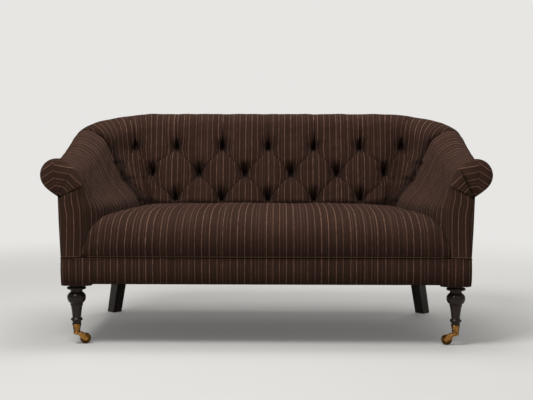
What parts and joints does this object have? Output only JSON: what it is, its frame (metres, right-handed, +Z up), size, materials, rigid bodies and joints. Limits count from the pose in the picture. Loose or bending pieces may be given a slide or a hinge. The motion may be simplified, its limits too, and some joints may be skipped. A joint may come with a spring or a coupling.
{
  "type": "tufted settee",
  "caption": "Low settee with a deep-buttoned rounded back, plain scroll arms, a sprung seat, turned front legs on brass casters and raked square back legs.",
  "frame": {"origin": "on the floor, under the middle of the settee's overall plan", "axes": "+X to the right seen from the front, the front faces -Y, +Z up"},
  "size_m": [1.594, 0.8601, 0.841],
  "materials": {
    "striped_wool": "dark brown wool with thin copper-brown pinstripes",
    "beech": "unfinished beech",
    "dark_wood": "dark stained and waxed, worn at the edges",
    "brass": "aged brass, brighter where it rubs",
    "hessian": "coarse hessian",
    "webbing": "woven jute webbing",
    "black_cotton": "black cotton",
    "steel": "plain steel"
  },
  "bodies": {
    "root": {"back_centre_upright": "beech", "back_pad": "striped_wool", "back_stay_rail": "beech", "back_top_rail": "beech", "back_webbing": "webbing", "bottom_row_buttons": "striped_wool", "caster_cups": "brass", "dust_cover": "black_cotton", "front_leg_bolts": "steel", "front_legs": "dark_wood", "front_seat_rail": "beech", "left_arm_pad": "striped_wool", "left_arm_post": "beech", "left_arm_rail": "beech", "left_arm_stay": "beech", "left_back_post": "beech", "left_corner_rail": "beech", "left_front_block": "beech", "left_outside_arm_panel": "striped_wool", "left_rear_block": "beech", "left_rear_leg": "dark_wood", "left_seat_rail": "beech", "left_shoulder_rail": "beech", "middle_row_buttons": "striped_wool", "outside_back_panel": "striped_wool", "rail_border": "striped_wool", "rear_leg_bolts": "steel", "rear_seat_rail": "beech", "right_arm_pad": "striped_wool", "right_arm_post": "beech", "right_arm_rail": "beech", "right_arm_stay": "beech", "right_back_post": "beech", "right_corner_rail": "beech", "right_front_block": "beech", "right_outside_arm_panel": "striped_wool", "right_rear_block": "beech", "right_rear_leg": "dark_wood", "right_seat_rail": "beech", "right_shoulder_rail": "beech", "seat_pad": "striped_wool", "seat_stretcher": "beech", "seat_webbing_cross": "webbing", "seat_webbing_long": "webbing", "spring_cover": "hessian", "swivel_pins": "brass", "top_row_buttons": "striped_wool"},
    "left_caster": {"left_caster_horn": "brass", "left_wheel_axle": "brass"},
    "right_caster": {"right_caster_horn": "brass", "right_wheel_axle": "brass"},
    "left_wheel": {"left_caster_wheel": "brass"},
    "right_wheel": {"right_caster_wheel": "brass"}
  },
  "joints": [
    {"name": "left_caster_swivel", "type": "hinge", "parent": "root", "child": "left_caster", "pos_m": [-0.67, -0.372, 0.04], "axis": [0, 0, 1], "continuous": true},
    {"name": "left_wheel_spin", "type": "hinge", "parent": "left_caster", "child": "left_wheel", "pos_m": [-0.64054, -0.36411, 0.0193], "axis": [-0.2588, 0.9659, 0], "continuous": true},
    {"name": "right_caster_swivel", "type": "hinge", "parent": "root", "child": "right_caster", "pos_m": [0.67, -0.372, 0.04], "axis": [0, 0, 1], "continuous": true},
    {"name": "right_wheel_spin", "type": "hinge", "parent": "right_caster", "child": "right_wheel", "pos_m": [0.64054, -0.36411, 0.0193], "axis": [-0.2588, -0.9659, 0], "continuous": true}
  ]
}
